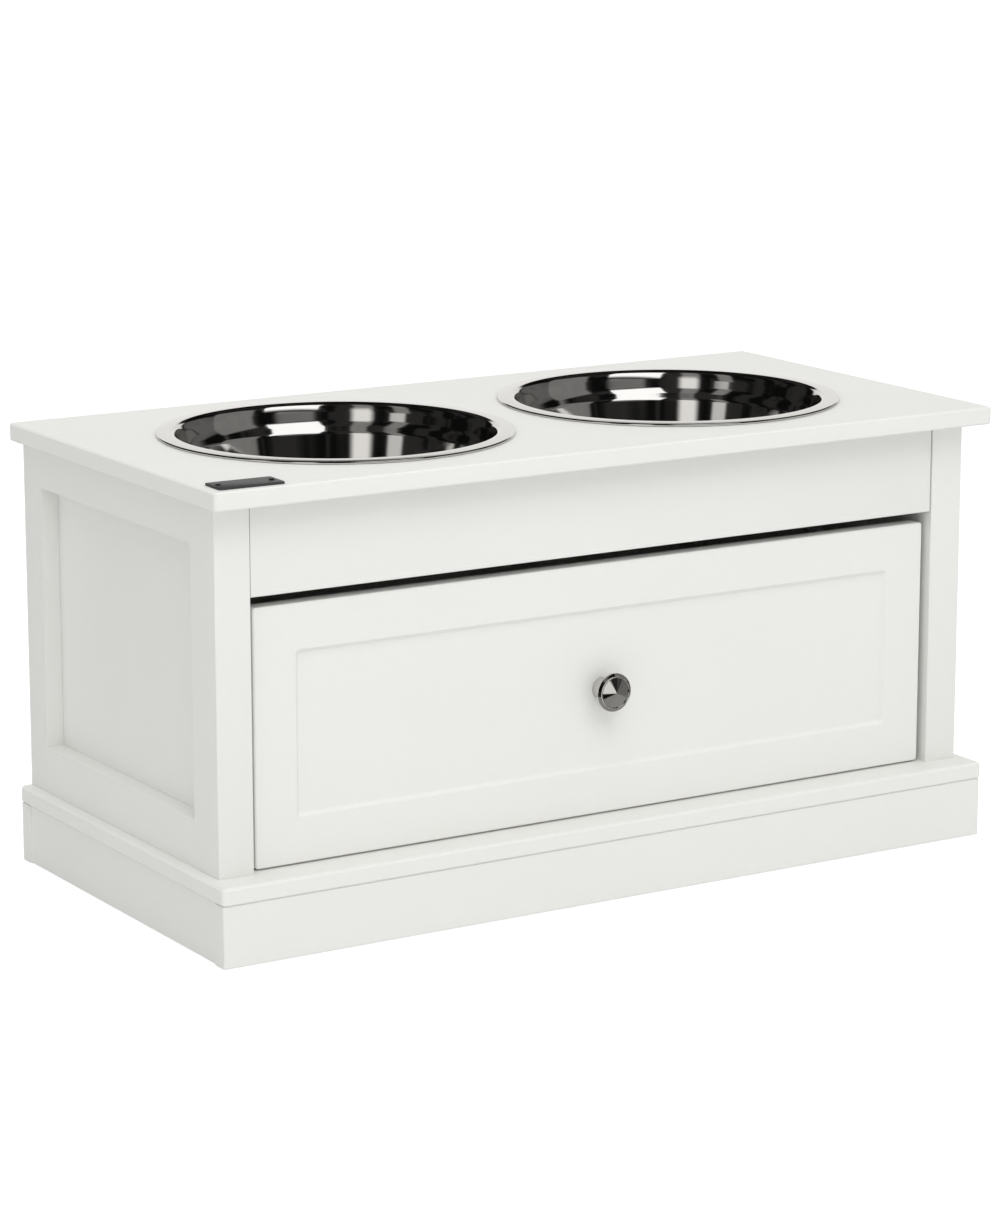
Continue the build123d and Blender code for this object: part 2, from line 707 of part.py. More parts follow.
# ---------------------------------------------------------------- knob
with BuildPart() as knob_turning:
    with BuildSketch(Plane.XZ):
        with BuildLine():
            rim_back = knob_projection - knob_rim_thickness
            collar_back = rim_back - knob_collar_thickness
            foot = Line((0, 0), (knob_foot_diameter / 2, 0))
            foot_side = Line(foot @ 1, (knob_foot_diameter / 2, knob_foot_height / 2))
            neck = Polyline(
                foot_side @ 1,
                (knob_neck_diameter / 2, knob_neck_rise),
                (knob_collar_diameter / 2, collar_back),
            )
            Polyline(
                neck @ 1,
                (knob_collar_diameter / 2, rim_back),
                (knob_rim_diameter / 2, rim_back),
                (knob_rim_diameter / 2, knob_projection),
                (knob_face_diameter / 2, knob_projection),
                (knob_face_diameter / 2, knob_projection - knob_face_sink),
                (0, knob_projection - knob_face_sink + knob_cone_height),
                (0, 0),
            )
        make_face()
    revolve(axis=Axis.Z)
    rim_edges = knob_turning.edges().filter_by(GeomType.CIRCLE).group_by(SortBy.RADIUS)[-1]
    chamfer(rim_edges, knob_rim_round)
    bore((0, 0, 0), UP, screw_bore_radius, knob_insert_depth)

copies(knob_turning.part, [Plane(origin=(0, field_plane, front_middle), z_dir=FORWARD)], "knob")
copies(knob_bolt, [Plane(origin=(0, inner_front_back, front_middle), z_dir=FORWARD)], "knob_screw")

# ---------------------------------------------------------------- roller runners
with BuildPart() as roller:
    with BuildSketch(Plane.XZ):
        with BuildLine():
            Polyline(
                (pin_bore_radius, 0),
                (roller_radius - roller_edge, 0),
                (roller_radius, roller_edge),
                (roller_radius, roller_width - roller_edge),
                (roller_radius - roller_edge, roller_width),
                (pin_flange_diameter / 2 + pin_fit, roller_width),
                (pin_flange_diameter / 2 + pin_fit, roller_width - pin_recess),
                (pin_bore_radius, roller_width - pin_recess),
                close=True,
            )
        make_face()
    revolve(axis=Axis.Z)

with BuildPart() as roller_pin:
    spacer_top = runner_steel + roller_side_gap - roller_gap
    pin_end = runner_steel + roller_side_gap + roller_width
    with BuildSketch(Plane.XZ):
        with BuildLine():
            Polyline(
                (0, 0),
                (pin_diameter / 2, 0),
                (pin_diameter / 2, runner_steel),
                (pin_flange_diameter / 2, runner_steel),
                (pin_flange_diameter / 2, spacer_top),
                (pin_diameter / 2, spacer_top),
                (pin_diameter / 2, pin_end - pin_recess + pin_fit),
                (pin_flange_diameter / 2, pin_end - pin_recess + pin_fit),
                (pin_flange_diameter / 2, pin_end),
                (0, pin_end),
                close=True,
            )
        make_face()
    revolve(axis=Axis.Z)

cabinet_screws, drawer_screws, front_pins, rear_pins = [], [], [], []
for side_name, side in SIDES.items():
    outward = (side, 0, 0)
    inward = (-side, 0, 0)

    with BuildPart() as cabinet_runner:
        with BuildSketch(Plane.XZ.offset(-cabinet_runner_front)):
            patch((side * post_inner, side * web_inner), (cabinet_runner_low, upper_track_top))
            patch((side * web_inner, side * (web_inner - track_width)), (cabinet_runner_low, lower_track_top))
            patch((side * web_inner, side * (web_inner - track_width)), (upper_track_low, upper_track_top))
        extrude(amount=-cabinet_runner_length)
        block(
            (side * web_inner, side * (web_inner - track_width)),
            (cabinet_runner_front, front_roller_y + roller_radius + roller_window),
            (upper_track_low, upper_track_top), mode=Mode.SUBTRACT,
        )
        for y in cabinet_screw_places:
            round_bore(
                (side * web_inner, y, cabinet_screw_z), outward, runner_bore_radius, runner_steel
            )
        round_bore(
            (side * web_inner, front_roller_y, front_roller_z), outward, pin_bore_radius, runner_steel
        )
    save(cabinet_runner.part, f"{side_name}_cabinet_runner")

    with BuildPart() as drawer_runner:
        with BuildSketch(Plane.XZ.offset(-drawer_runner_front)):
            patch((side * drawer_half, side * drawer_web), (drawer_runner_low, drawer_runner_high))
            patch((side * drawer_half, side * (drawer_half - under_flange)), (drawer_runner_low, drawer_low))
            over_flange_edge = drawer_web + over_flange
            patch((side * drawer_web, side * over_flange_edge), (over_flange_low, drawer_runner_high))
        extrude(amount=-drawer_runner_length)
        for y in drawer_screw_places:
            round_bore(
                (side * drawer_web, y, drawer_screw_z), inward, runner_bore_radius, runner_steel
            )
        round_bore(
            (side * drawer_web, rear_roller_y, rear_roller_z), inward, pin_bore_radius, runner_steel
        )
    save(drawer_runner.part, f"{side_name}_drawer_runner")

    front_axle = Plane(origin=(side * roller_outer, front_roller_y, front_roller_z), z_dir=inward)
    rear_roller_face = side * (drawer_web + roller_side_gap)
    rear_axle = Plane(origin=(rear_roller_face, rear_roller_y, rear_roller_z), z_dir=outward)
    copies(roller.part, [front_axle], f"{side_name}_front_roller")
    copies(roller.part, [rear_axle], f"{side_name}_rear_roller")
    front_pins.append(Plane(origin=(side * post_inner, front_roller_y, front_roller_z), z_dir=inward))
    rear_pins.append(Plane(origin=(side * drawer_half, rear_roller_y, rear_roller_z), z_dir=outward))
    for y in cabinet_screw_places:
        cabinet_screws.append(Plane(origin=(side * web_inner, y, cabinet_screw_z), z_dir=outward))
    for y in drawer_screw_places:
        drawer_screws.append(Plane(origin=(side * drawer_web, y, drawer_screw_z), z_dir=inward))

copies(roller_pin.part, front_pins, "front_roller_pins")
copies(roller_pin.part, rear_pins, "rear_roller_pins")
copies(runner_screw, cabinet_screws, "cabinet_runner_screws")
copies(runner_screw, drawer_screws, "drawer_runner_screws")

# ---------------------------------------------------------------- bowls
bowl_floor = bowl_steel - bowl_depth
hem_edge = bowl_lip_thickness / 3
hem_low = bowl_seat_gap + hem_edge
hem_high = bowl_seat_gap + bowl_lip_thickness - hem_edge
hem_top = bowl_seat_gap + bowl_lip_thickness
inside = [
    (bowl_rim_radius - hem_edge, hem_top),
    (bowl_crown_radius, bowl_flange_rise),
    (bowl_mouth_radius + bowl_shoulder_bend, bowl_shoulder_height),
    (bowl_mouth_radius, bowl_shoulder_height - bowl_shoulder_bend),
    (bowl_step_radius, -bowl_step_depth),
    (bowl_wall_radius, -bowl_step_depth - bowl_step_height),
    (bowl_floor_radius, bowl_floor + bowl_floor_bend),
    (bowl_floor_radius - bowl_floor_bend / 3, bowl_floor + bowl_floor_bend / 3),
    (bowl_floor_radius - bowl_floor_bend, bowl_floor),
]
hem = [
    (bowl_rim_radius, hem_high),
    (bowl_rim_radius, hem_low),
    (bowl_rim_radius - hem_edge, bowl_seat_gap),
    (bowl_rim_radius - bowl_lip_thickness, bowl_seat_gap),
    (bowl_rim_radius - bowl_lip_thickness, hem_top - bowl_steel),
]
outside = [(radius + bowl_steel, height - bowl_steel) for radius, height in inside[1:]]
with BuildPart() as bowl:
    with BuildSketch(Plane.XZ):
        with BuildLine():
            Polyline(
                (0, bowl_floor), *reversed(inside), *hem, *outside, (0, -bowl_depth), close=True
            )
        make_face()
    revolve(axis=Axis.Z)

for side_name, side in SIDES.items():
    copies(bowl.part, [(side * bowl_offset, 0, overall_height)], f"{side_name}_bowl")
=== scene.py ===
"""Elevated dog feeder with a storage drawer: finishes, turned metal pieces and studio."""

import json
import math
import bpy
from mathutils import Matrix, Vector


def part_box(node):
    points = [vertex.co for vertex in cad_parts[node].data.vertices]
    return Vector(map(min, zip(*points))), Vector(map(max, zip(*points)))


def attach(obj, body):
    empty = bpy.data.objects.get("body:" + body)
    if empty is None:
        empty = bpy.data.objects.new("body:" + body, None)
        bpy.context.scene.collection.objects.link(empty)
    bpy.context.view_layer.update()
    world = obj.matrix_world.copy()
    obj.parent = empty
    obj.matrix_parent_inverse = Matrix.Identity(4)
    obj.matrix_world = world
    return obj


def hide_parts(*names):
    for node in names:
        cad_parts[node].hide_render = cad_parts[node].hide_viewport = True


bl_info = {
    "name": "Elevated dog feeder dressing",
    "version": (1, 0, 0),
    "blender": (4, 5, 0),
    "location": "View3D > Sidebar > Feeder",
    "description": "Finishes, pressed bowls, knob, corner plate and studio for the feeder",
    "category": "Object",
}

import bpy
from mathutils import Vector

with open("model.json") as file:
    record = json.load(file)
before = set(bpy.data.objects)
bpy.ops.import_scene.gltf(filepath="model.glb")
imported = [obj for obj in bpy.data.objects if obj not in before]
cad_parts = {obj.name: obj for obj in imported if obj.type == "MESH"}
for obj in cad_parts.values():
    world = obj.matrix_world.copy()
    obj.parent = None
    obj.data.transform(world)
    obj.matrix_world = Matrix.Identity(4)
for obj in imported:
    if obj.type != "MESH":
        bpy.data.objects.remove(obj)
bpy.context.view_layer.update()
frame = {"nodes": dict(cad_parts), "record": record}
MM = 0.001
SAME_PLACE = 0.00002
BOWL_SIDES = 192
KNOB_SIDES = 160
RIVET_SIDES = 32

BOARD_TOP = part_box("top_board")[1].z
BOWL_AXES = {
    side: (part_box(f"{side}_bowl")[0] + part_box(f"{side}_bowl")[1]) / 2 for side in ("left", "right")
}
BOWL_RIM = (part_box("left_bowl")[1].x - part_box("left_bowl")[0].x) / 2
KNOB_LOW, KNOB_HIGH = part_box("knob")

PLATE_CENTER = (-270.5 * MM, -131.8 * MM)
PLATE_TURN = -1.5
RIVET_INSET = 4.4 * MM
RIVET_COLOR = (0.03, 0.03, 0.03)

CAMERA_PLACE = (-1.40082, -2.25851, 0.75751)
CAMERA_HEADING = -31.72
CAMERA_TILT = -12.53
SENSOR_WIDTH = 36.0
LAMP_AIM = (0, 0, 0.15)

# Bright areas seen in the metal: degrees round from the front, degrees above the horizon, each as
# low, high and softness of the edge, then brightness.
ROOM_AREAS = (
    ((-58, -43, 3), (-5, 31, 4), 1.05),      # near window strip
    ((-60, -45, 2), (31, 54, 3), 0.25),      # its faint upper part
    ((-84, -72, 1.5), (-5, 23, 2), 0.7),     # far window strip
    ((-88, -76, 2), (23, 48, 2), 0.25),      # its faint upper part
    ((-14, 16, 3), (21, 28, 3), 0.22),       # haze under the softbox
    ((36, 74, 2), (3, 33, 2), 0.22),         # grey wall at the right
    ((74, 115, 3), (5, 22, 3), 0.12),        # its darker end
    ((120, 178, 3), (-2, 22, 2), 0.93),      # white backdrop behind
    ((5, 25.3, 0.5), (-11.3, 3, 0.5), 1.0),  # low card that lights the knob's face
    ((36, 90, 6), (-18, 1, 1), 0.17),        # floor at the right
)
FLOOR_AREA = ((-95, -18, 1), 0.32)
ROOM_COLOR = (1.0, 0.985, 0.96)
ROOM_BRIGHTEST = 1.05


# ---------------------------------------------------------------- settings
class FeederPaint(bpy.types.PropertyGroup):
    """Satin paint on the boards."""

    color: bpy.props.FloatVectorProperty(
        name="Paint colour", description="Off-white paint on every board",
        subtype="COLOR", size=3, min=0, max=1, default=(0.845, 0.845, 0.818),
    )
    roughness: bpy.props.FloatProperty(
        name="Paint roughness", description="Satin sheen of the paint",
        subtype="FACTOR", min=0, max=1, default=0.46,
    )
    stipple: bpy.props.FloatProperty(
        name="Stipple height", description="Height of the sprayed texture",
        subtype="DISTANCE", unit="LENGTH", min=0, default=0.00002,
    )
    ease: bpy.props.FloatProperty(
        name="Eased edge", description="Rounding of the edges that meet in a joint",
        subtype="DISTANCE", unit="LENGTH", min=0, default=0.25 * MM,
    )
    seam: bpy.props.FloatProperty(
        name="Seam", description="Open joint between the apron and each post",
        subtype="DISTANCE", unit="LENGTH", min=0, default=0.8 * MM,
    )


class FeederSteel(bpy.types.PropertyGroup):
    """Polished pressed steel of the bowls."""

    color: bpy.props.FloatVectorProperty(
        name="Steel colour", description="Reflected tint of the stainless steel",
        subtype="COLOR", size=3, min=0, max=1, default=(0.66, 0.65, 0.635),
    )
    roughness: bpy.props.FloatProperty(
        name="Steel roughness", description="Blur of the polished steel",
        subtype="FACTOR", min=0, max=1, default=0.07,
    )


class FeederPlate(bpy.types.PropertyGroup):
    """Small blank metal plate riveted on the top board's front left corner."""

    color: bpy.props.FloatVectorProperty(
        name="Plate colour", description="Dark coating of the plate",
        subtype="COLOR", size=3, min=0, max=1, default=(0.062, 0.063, 0.066),
    )
    length: bpy.props.FloatProperty(
        name="Plate length", description="Long side of the plate",
        subtype="DISTANCE", unit="LENGTH", default=45.5 * MM,
    )
    width: bpy.props.FloatProperty(
        name="Plate width", description="Short side of the plate",
        subtype="DISTANCE", unit="LENGTH", default=21 * MM,
    )
    thickness: bpy.props.FloatProperty(
        name="Plate thickness", description="Thickness of the plate",
        subtype="DISTANCE", unit="LENGTH", default=1.5 * MM,
    )


class FeederStudio(bpy.types.PropertyGroup):
    """Camera and light of the product photograph."""

    sky: bpy.props.FloatProperty(
        name="Sky", description="Even light from all round",
        min=0, default=0.71,
    )
    key: bpy.props.FloatProperty(
        name="Key lamp", description="Power of the large soft lamp high before the front",
        subtype="POWER", unit="POWER", min=0, default=34.0,
    )
    overhead: bpy.props.FloatProperty(
        name="Overhead lamp", description="Power of the lamp above and behind",
        subtype="POWER", unit="POWER", min=0, default=8.0,
    )
    side: bpy.props.FloatProperty(
        name="Side lamp", description="Power of the fill lamp at the front left",
        subtype="POWER", unit="POWER", min=0, default=1.2,
    )
    front: bpy.props.FloatProperty(
        name="Front lamp", description="Power of the low fill lamp before the drawer",
        subtype="POWER", unit="POWER", min=0, default=2.7,
    )
    lens: bpy.props.FloatProperty(
        name="Lens", description="Focal length on a 36 mm wide sensor",
        min=10, default=117.23,
    )


# ---------------------------------------------------------------- shader writing
class Value:
    """A number that varies over a surface; arithmetic on it adds Math nodes."""

    def __init__(self, recipe, socket):
        self.recipe = recipe
        self.socket = socket

    def _math(self, operation, first, second):
        return self.recipe.node(
            "ShaderNodeMath", {"operation": operation}, {0: first, 1: second}
        )

    def __add__(self, other):
        return self._math("ADD", self, other)

    def __sub__(self, other):
        return self._math("SUBTRACT", self, other)

    def __mul__(self, other):
        return self._math("MULTIPLY", self, other)

    def __radd__(self, other):
        return self._math("ADD", other, self)

    def __rsub__(self, other):
        return self._math("SUBTRACT", other, self)

    def __rmul__(self, other):
        return self._math("MULTIPLY", other, self)

    def power(self, exponent):
        return self._math("POWER", self, exponent)

    def angle_over(self, other):
        """The angle in degrees whose tangent is this value over the other."""
        return self._math("ARCTAN2", self, other) * (180 / math.pi)

    def between(self, low, high, soft):
        """1 inside low..high, falling smoothly to 0 over a width of soft on each side."""
        rise = self.recipe.node(
            "ShaderNodeMapRange", {"interpolation_type": "SMOOTHSTEP"},
            {"Value": self, "From Min": low - soft, "From Max": low + soft},
        )
        fall = self.recipe.node(
            "ShaderNodeMapRange", {"interpolation_type": "SMOOTHSTEP"},
            {"Value": self, "From Min": high - soft, "From Max": high + soft},
        )
        return rise * (1 - fall)


class Recipe:
    """One material's node tree."""

    def __init__(self, name):
        self.material = bpy.data.materials.new(name)
        self.material.use_nodes = True
        self.tree = self.material.node_tree
        self.tree.nodes.clear()

    def node(self, kind, settings=None, sockets=None, output=0):
        """Add a node, set its settings, then its sockets; returns one output as a Value."""
        node = self.tree.nodes.new(kind)
        for key, value in (settings or {}).items():
            setattr(node, key, value)
        for key, value in (sockets or {}).items():
            if isinstance(value, Value):
                self.tree.links.new(value.socket, node.inputs[key])
            else:
                node.inputs[key].default_value = value
        return Value(self, node.outputs[output])

    def place(self):
        """Object coordinates, in metres."""
        return self.node("ShaderNodeTexCoord", output="Object")

    def noise(self, vector, scale, detail, roughness):
        """Cloudy pattern between 0 and 1; scale is in patches a metre."""
        return self.node(
            "ShaderNodeTexNoise", None,
            {"Vector": vector, "Scale": scale, "Detail": detail, "Roughness": roughness},
        )

    def axes(self, vector):
        """The three parts of a vector."""
        first = self.node("ShaderNodeSeparateXYZ", None, {0: vector})
        outputs = first.socket.node.outputs
        return [Value(self, outputs[i]) for i in range(3)]

    def tint(self, factor, low, high):
        """Colour between low and high."""
        return self.node(
            "ShaderNodeMix", {"data_type": "RGBA"},
            {0: factor, 6: (*low, 1.0), 7: (*high, 1.0)}, output=2,
        )

    def bump(self, height, distance):
        """Normal of a relief that is distance metres high."""
        return self.node(
            "ShaderNodeBump", None, {"Height": height, "Distance": distance}, output="Normal"
        )

    def surface(self, **sockets):
        """Principled surface; names use _ for a space."""
        shader = self.node(
            "ShaderNodeBsdfPrincipled", None,
            {key.replace("_", " "): value for key, value in sockets.items()},
        )
        self.finish(shader)
        return self.material

    def glow(self, share, color, strength):
        """Emission in a colour; share runs from 0, dark, to strength, the brightest."""
        return self.node(
            "ShaderNodeEmission", None,
            {"Color": self.tint(share * (1 / strength), (0, 0, 0), color), "Strength": strength},
        )

    def finish(self, shader):
        """Link the shader to the material's output."""
        output = self.tree.nodes.new("ShaderNodeOutputMaterial")
        self.tree.links.new(shader.socket, output.inputs["Surface"])


def scaled(color, factor):
    """A colour made lighter or darker."""
    return tuple(min(1.0, part * factor) for part in color)


def painted_board(name, color, roughness, stipple):
    """Sprayed satin paint on fibreboard: faint mottling, fine stipple, soft sheen."""
    recipe = Recipe(name)
    place = recipe.place()
    cloud = recipe.noise(place, 9.0, 3.0, 0.55)
    grain = recipe.noise(place, 160.0, 2.0, 0.5)
    shade = cloud * 0.7 + grain * 0.3
    peel = recipe.noise(place, 850.0, 2.0, 0.6)
    waves = recipe.noise(place, 70.0, 1.0, 0.4)
    return recipe.surface(
        Base_Color=recipe.tint(shade, scaled(color, 0.978), scaled(color, 1.022)),
        Roughness=roughness + (grain - 0.5) * 0.12,
        Normal=recipe.bump(peel * 0.6 + waves * 1.6, stipple),
        Specular_IOR_Level=0.4,
    )


def polished_steel(name, color, roughness, axis_x, wear):
    """Mirror-polished sheet with spun rings round the bowl's axis and faint wipe marks."""
    recipe = Recipe(name)
    place = recipe.place()
    x, y, z = recipe.axes(place)
    dx = x - axis_x
    radius = (dx * dx + y * y).power(0.5)
    rings = recipe.node(
        "ShaderNodeTexNoise", {"noise_dimensions": "1D"},
        {"W": radius + z, "Scale": 2600.0, "Detail": 3.0, "Roughness": 0.7},
    )
    smudge = recipe.noise(place, 22.0, 4.0, 0.6)
    return recipe.surface(
        Base_Color=recipe.tint(smudge, scaled(color, 0.95), scaled(color, 1.04)),
        Metallic=1.0,
        Roughness=roughness + (smudge - 0.5) * wear + (rings - 0.5) * 0.03,
        Normal=recipe.bump(rings, 0.0000012),
    )


def plated_metal(name, color, roughness):
    """Bright plating with a slight unevenness."""
    recipe = Recipe(name)
    place = recipe.place()
    cloud = recipe.noise(place, 120.0, 3.0, 0.6)
    fine = recipe.noise(place, 1800.0, 2.0, 0.5)
    return recipe.surface(
        Base_Color=recipe.tint(cloud, scaled(color, 0.92), scaled(color, 1.06)),
        Metallic=1.0,
        Roughness=roughness + (cloud - 0.5) * 0.06,
        Normal=recipe.bump(fine, 0.000002),
    )


def moulded_plastic(name, color, roughness):
    """Nylon or powder coat with a fine even texture."""
    recipe = Recipe(name)
    place = recipe.place()
    cloud = recipe.noise(place, 60.0, 2.0, 0.5)
    fine = recipe.noise(place, 1500.0, 2.0, 0.6)
    return recipe.surface(
        Base_Color=recipe.tint(cloud, scaled(color, 0.96), scaled(color, 1.03)),
        Roughness=roughness + (fine - 0.5) * 0.15,
        Normal=recipe.bump(fine, 0.00003),
    )


def planed_wood(name, light, dark):
    """Straight-grained softwood."""
    recipe = Recipe(name)
    place = recipe.place()
    lines = recipe.node(
        "ShaderNodeTexNoise", None,
        {
            "Vector": recipe.node(
                "ShaderNodeMapping", None, {"Vector": place, "Scale": (9.0, 160.0, 160.0)}
            ),
            "Scale": 4.0, "Detail": 4.0, "Roughness": 0.6,
        },
    )
    pores = recipe.noise(place, 900.0, 2.0, 0.5)
    return recipe.surface(
        Base_Color=recipe.tint(lines * 0.8 + pores * 0.2, dark, light),
        Roughness=0.6 + (pores - 0.5) * 0.2,
        Normal=recipe.bump(lines, 0.00008),
    )


def coated_plate(name, color):
    """Dark cast plate: fine sand texture and paler worn high spots."""
    recipe = Recipe(name)
    place = recipe.place()
    sand = recipe.noise(place, 1400.0, 3.0, 0.6)
    cloud = recipe.noise(place, 90.0, 3.0, 0.5)
    return recipe.surface(
        Base_Color=recipe.tint(cloud * 0.6 + sand * 0.4, scaled(color, 0.6), scaled(color, 1.5)),
        Metallic=0.35,
        Roughness=0.42 + (sand - 0.5) * 0.25,
        Normal=recipe.bump(sand, 0.00003),
    )


# ---------------------------------------------------------------- mesh work
def start_clean():
    """Object mode with nothing selected."""
    if bpy.context.object and bpy.context.object.mode != "OBJECT":
        bpy.ops.object.mode_set(mode="OBJECT")
    bpy.ops.object.select_all(action="DESELECT")


def pick_edges(piece, wanted):
    """In edit mode, select the edges whose two end points both pass the test."""
    bpy.ops.mesh.select_all(action="DESELECT")
    bpy.ops.object.mode_set(mode="OBJECT")
    points = piece.data.vertices
    for edge in piece.data.edges:
        edge.select = all(wanted(points[i].co) for i in edge.vertices)
    bpy.ops.object.mode_set(mode="EDIT")


def turned(name, profile, bends, sides):
    """A closed turned piece about the Z axis: rings are extruded along a profile of
    (radius, height) points, then the named corners are bevelled round."""
    start_clean()
    radius, height = profile[0]
    bpy.ops.mesh.primitive_circle_add(
        vertices=sides, radius=radius, fill_type="TRIFAN", location=(0, 0, height)
    )
    piece = bpy.context.object
    piece.name = name
    bpy.ops.object.transform_apply(location=True, rotation=True, scale=True)
    bpy.ops.object.mode_set(mode="EDIT")
    bpy.ops.mesh.select_mode(type="EDGE")
    pick_edges(piece, lambda co: co.to_2d().length > radius * 0.5)
    for next_radius, next_height in profile[1:-1]:
        bpy.ops.mesh.extrude_edges_move(
            TRANSFORM_OT_translate={"value": (0, 0, next_height - height)}
        )
        grow = next_radius / radius
        bpy.ops.transform.resize(value=(grow, grow, 1), center_override=(0, 0, next_height))
        radius, height = next_radius, next_height
    bpy.ops.mesh.extrude_edges_move(
        TRANSFORM_OT_translate={"value": (0, 0, profile[-1][1] - height)}
    )
    bpy.ops.mesh.merge(type="CENTER")
    for (ring_radius, ring_height), reach, segments in bends:
        pick_edges(
            piece,
            lambda co: abs(co.to_2d().length - ring_radius) < SAME_PLACE
            and abs(co.z - ring_height) < SAME_PLACE,
        )
        bpy.ops.mesh.bevel(
            offset=reach, segments=segments, profile=0.5, affect="EDGES", clamp_overlap=False
        )
    bpy.ops.mesh.select_all(action="SELECT")
    bpy.ops.mesh.normals_make_consistent(inside=False)
    bpy.ops.object.mode_set(mode="OBJECT")
    bpy.ops.object.shade_smooth_by_angle(angle=math.radians(40))
    weigh_normals(piece)
    return piece


def weigh_normals(piece):
    """Shade large faces true, so that only the bends between them look round."""
    shading = piece.modifiers.new("large_faces_first", "WEIGHTED_NORMAL")
    shading.keep_sharp = True
    bpy.ops.object.modifier_apply(modifier=shading.name)


def merged_copy(node):
    """A separate copy of a carried-over board with its loose triangles merged, in edit mode."""
    start_clean()
    bpy.ops.mesh.primitive_cube_add(size=1, location=(0, 0, 0))
    piece = bpy.context.object
    piece.name = f"{node}_eased"
    piece.data = frame["nodes"][node].data.copy()
    bpy.ops.mesh.customdata_custom_splitnormals_clear()
    bpy.ops.object.mode_set(mode="EDIT")
    bpy.ops.mesh.select_mode(type="EDGE")
    bpy.ops.mesh.select_all(action="SELECT")
    bpy.ops.mesh.remove_doubles(threshold=0.000002)
    bpy.ops.mesh.dissolve_limited(angle_limit=math.radians(1))
    return piece


def move_to(piece, place):
    """Put a piece's mesh at its place, with the object itself left at the origin."""
    start_clean()
    piece.select_set(True)
    bpy.context.view_layer.objects.active = piece
    piece.location = place
    bpy.ops.object.transform_apply(location=True, rotation=True, scale=True)


def dress(piece, material, body, slot, *nodes):
    """Give a piece its finish and its body, and hide the nodes that it stands for."""
    piece.data.materials.clear()
    piece.data.materials.append(material)
    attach(piece, body)
    if nodes:
        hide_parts(*nodes)


# ---------------------------------------------------------------- pieces
class FEEDER_OT_boards(bpy.types.Operator):
    """Give every carried-over board, runner and fastener its finish"""

    bl_idname = "feeder.boards"
    bl_label = "Finish boards and hidden hardware"

    def execute(self, context):
        paint = context.scene.feeder_paint
        finishes = {
            "painted_board": painted_board(
                "satin_paint", paint.color, paint.roughness, paint.stipple
            ),
            "drawer_board": painted_board(
                "white_foil", scaled(paint.color, 0.97), 0.38, paint.stipple * 0.5
            ),
            "bowl_steel": plated_metal("bowl_sheet", (0.66, 0.65, 0.63), 0.1),
            "knob_metal": plated_metal("knob_plating", (0.6, 0.59, 0.57), 0.08),
            "runner_steel": moulded_plastic("powder_coat", (0.82, 0.82, 0.8), 0.42),
            "roller_plastic": moulded_plastic("nylon", (0.86, 0.86, 0.82), 0.5),
            "fastener_steel": plated_metal("zinc", (0.55, 0.55, 0.53), 0.3),
            "dowel_wood": planed_wood("beech", (0.66, 0.45, 0.26), (0.5, 0.32, 0.17)),
            "block_wood": planed_wood("pine", (0.74, 0.56, 0.34), (0.58, 0.39, 0.2)),
        }
        slots = {part["node"]: part["material_slot"] for part in frame["record"]["subparts"]}
        for name, node in frame["nodes"].items():
            for holder in node.material_slots:
                holder.material = finishes[slots[name]]
        return {"FINISHED"}


class FEEDER_OT_joints(bpy.types.Operator):
    """Ease the board edges that meet in the hairline joints of the front and the sides"""

    bl_idname = "feeder.joints"
    bl_label = "Eased joint edges"

    def execute(self, context):
        apron_low, apron_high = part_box("front_apron")
        post_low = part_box("left_front_post")[0]
        near = 0.1 * MM
        foot = post_low.z + near
        flank = abs(post_low.x) - near
        face = post_low.y + near

        def apron_ends(co):
            return abs(co.x) > apron_high.x - MM and co.y < apron_low.y + near

        def post_edges(co):
            inner = abs(co.x) < apron_high.x + near and co.y < face
            return inner or on_foot(co)

        def on_foot(co):
            return co.z < foot and (abs(co.x) > flank - MM or co.y < face + MM)

        plan = {"front_apron": apron_ends}
        for side in ("left", "right"):
            plan[f"{side}_front_post"] = post_edges
            plan[f"{side}_rear_post"] = on_foot
            plan[f"{side}_bottom_rail"] = on_foot
        finish = frame["nodes"]["front_apron"].material_slots[0].material
        for node, wanted in plan.items():
            piece = merged_copy(node)
            if node == "front_apron":
                scale = 1 - context.scene.feeder_paint.seam / apron_high.x
                bpy.ops.mesh.select_all(action="SELECT")
                bpy.ops.transform.resize(value=(scale, 1, 1), center_override=(0, 0, 0))
            pick_edges(piece, wanted)
            bpy.ops.mesh.bevel(offset=context.scene.feeder_paint.ease, segments=2, affect="EDGES")
            bpy.ops.mesh.select_all(action="SELECT")
            bpy.ops.mesh.normals_make_consistent(inside=False)
            bpy.ops.object.mode_set(mode="OBJECT")
            bpy.ops.object.shade_smooth_by_angle(angle=math.radians(30))
            dress(piece, finish, "cabinet", "painted_board", node)
        return {"FINISHED"}


